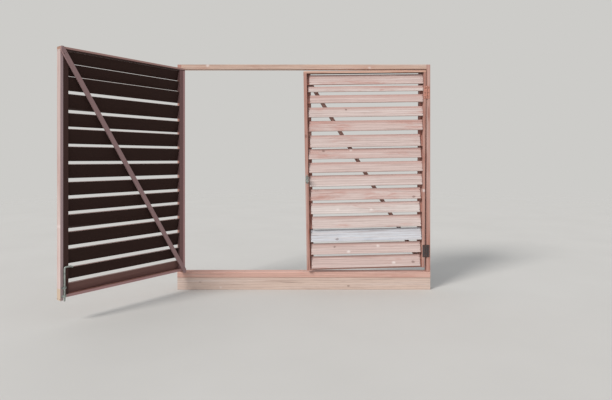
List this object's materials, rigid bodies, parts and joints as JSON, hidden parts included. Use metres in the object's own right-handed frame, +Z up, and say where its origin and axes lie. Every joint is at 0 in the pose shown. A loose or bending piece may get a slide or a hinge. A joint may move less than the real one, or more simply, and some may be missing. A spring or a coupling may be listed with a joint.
{
  "type": "louvred barn door",
  "caption": "Pair of louvred timber barn doors in their own frame, one open and one ajar, with butt hinges, cane bolt, hasp and staple.",
  "frame": {"origin": "middle of the underside of the sill beam, halfway along it and through its depth", "axes": "+Z up, +X to the right seen from outside, +Y into the barn, so the leaves open towards -Y"},
  "size_m": [3.9634, 1.3581, 2.758],
  "materials": {
    "louvre_wood": "weathered red paint",
    "grey_blue_board": "bare weathered",
    "frame_wood": "weathered red paint",
    "sill_wood": "weathered",
    "hinge_iron": "worn paint",
    "galvanised_steel": "dull galvanised"
  },
  "bodies": {
    "frame": {"sill_beam": "sill_wood", "threshold": "frame_wood", "header": "frame_wood", "left_jamb": "frame_wood", "right_jamb": "frame_wood", "left_frame_hinge_plates": "hinge_iron", "right_frame_hinge_plates": "hinge_iron", "left_hinge_pins": "hinge_iron", "right_hinge_pins": "hinge_iron"},
    "left_leaf": {"left_hinge_stile": "frame_wood", "left_free_stile": "frame_wood", "left_top_rail": "frame_wood", "left_bottom_rail": "frame_wood", "left_brace": "frame_wood", "left_cleats": "frame_wood", "left_slat_01": "louvre_wood", "left_slat_02": "louvre_wood", "left_slat_03": "louvre_wood", "left_slat_04": "louvre_wood", "left_slat_05": "louvre_wood", "left_slat_06": "louvre_wood", "left_slat_07": "louvre_wood", "left_slat_08": "louvre_wood", "left_slat_09": "louvre_wood", "left_slat_10": "louvre_wood", "left_slat_11": "louvre_wood", "left_slat_12": "louvre_wood", "left_slat_13": "louvre_wood", "left_slat_14": "louvre_wood", "left_slat_15": "louvre_wood", "left_leaf_hinge_plates": "hinge_iron", "bolt_guides": "galvanised_steel", "staple": "galvanised_steel"},
    "right_leaf": {"right_hinge_stile": "frame_wood", "right_free_stile": "frame_wood", "right_top_rail": "frame_wood", "right_bottom_rail": "frame_wood", "right_brace": "frame_wood", "right_cleats": "frame_wood", "right_slat_01": "louvre_wood", "right_slat_02": "louvre_wood", "right_slat_03": "louvre_wood", "right_slat_04": "louvre_wood", "right_slat_05": "louvre_wood", "right_slat_06": "louvre_wood", "right_slat_07": "louvre_wood", "right_slat_08": "louvre_wood", "right_slat_09": "louvre_wood", "right_slat_10": "louvre_wood", "right_slat_11": "louvre_wood", "right_slat_12": "louvre_wood", "right_slat_13": "grey_blue_board", "right_slat_14": "louvre_wood", "right_slat_15": "louvre_wood", "right_leaf_hinge_plates": "hinge_iron", "hasp_base": "galvanised_steel", "hasp_pin": "galvanised_steel"},
    "cane_bolt": {"cane_bolt": "galvanised_steel"},
    "hasp_strap": {"hasp_strap": "galvanised_steel"}
  },
  "joints": [
    {"name": "left_leaf_hinge", "type": "hinge", "parent": "frame", "child": "left_leaf", "pos_m": [-1.501, -0.057, 1.444], "axis": [0, 0, -1], "range_deg": [-127.7, 42.3]},
    {"name": "right_leaf_hinge", "type": "hinge", "parent": "frame", "child": "right_leaf", "pos_m": [1.501, -0.057, 1.444], "axis": [0, 0, 1], "range_deg": [-2.2, 167.8]},
    {"name": "cane_bolt_slide", "type": "slide", "parent": "left_leaf", "child": "cane_bolt", "axis": [0, 0, 1], "range_m": [-0.176, 0.03]},
    {"name": "hasp_hinge", "type": "hinge", "parent": "right_leaf", "child": "hasp_strap", "pos_m": [0.02413, -0.11103, 1.35306], "axis": [-0.0174, -0.0007, 0.9998], "range_deg": [-120, 60]}
  ]
}
